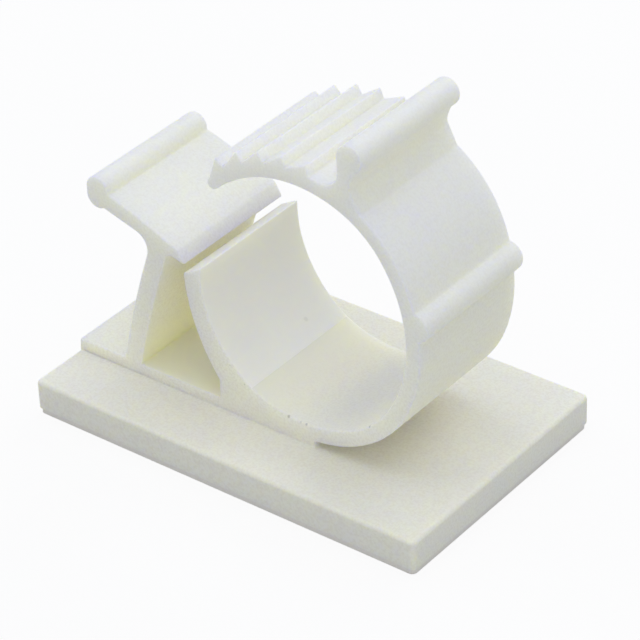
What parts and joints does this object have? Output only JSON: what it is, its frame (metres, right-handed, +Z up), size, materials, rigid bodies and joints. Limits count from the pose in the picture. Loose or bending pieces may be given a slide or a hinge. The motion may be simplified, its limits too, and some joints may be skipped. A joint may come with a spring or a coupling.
{
  "type": "adhesive cable clip",
  "caption": "Self-adhesive cable clip with a releasable ratchet ring and a springy latch, moulded in one piece with its flat rectangular base.",
  "frame": {"origin": "middle of the adhesive pad's underside, where the clip meets the surface that it is stuck to", "axes": "+X along the base plate towards the ring, Y across the plate along the bore, +Z up away from the surface"},
  "size_m": [0.0286, 0.018, 0.024],
  "materials": {
    "natural_nylon": "fine matte, slightly translucent warm white",
    "foam_adhesive": "matt white foam with adhesive on both faces"
  },
  "bodies": {
    "root": {"clip_body": "natural_nylon", "adhesive_pad": "foam_adhesive"}
  },
  "joints": []
}
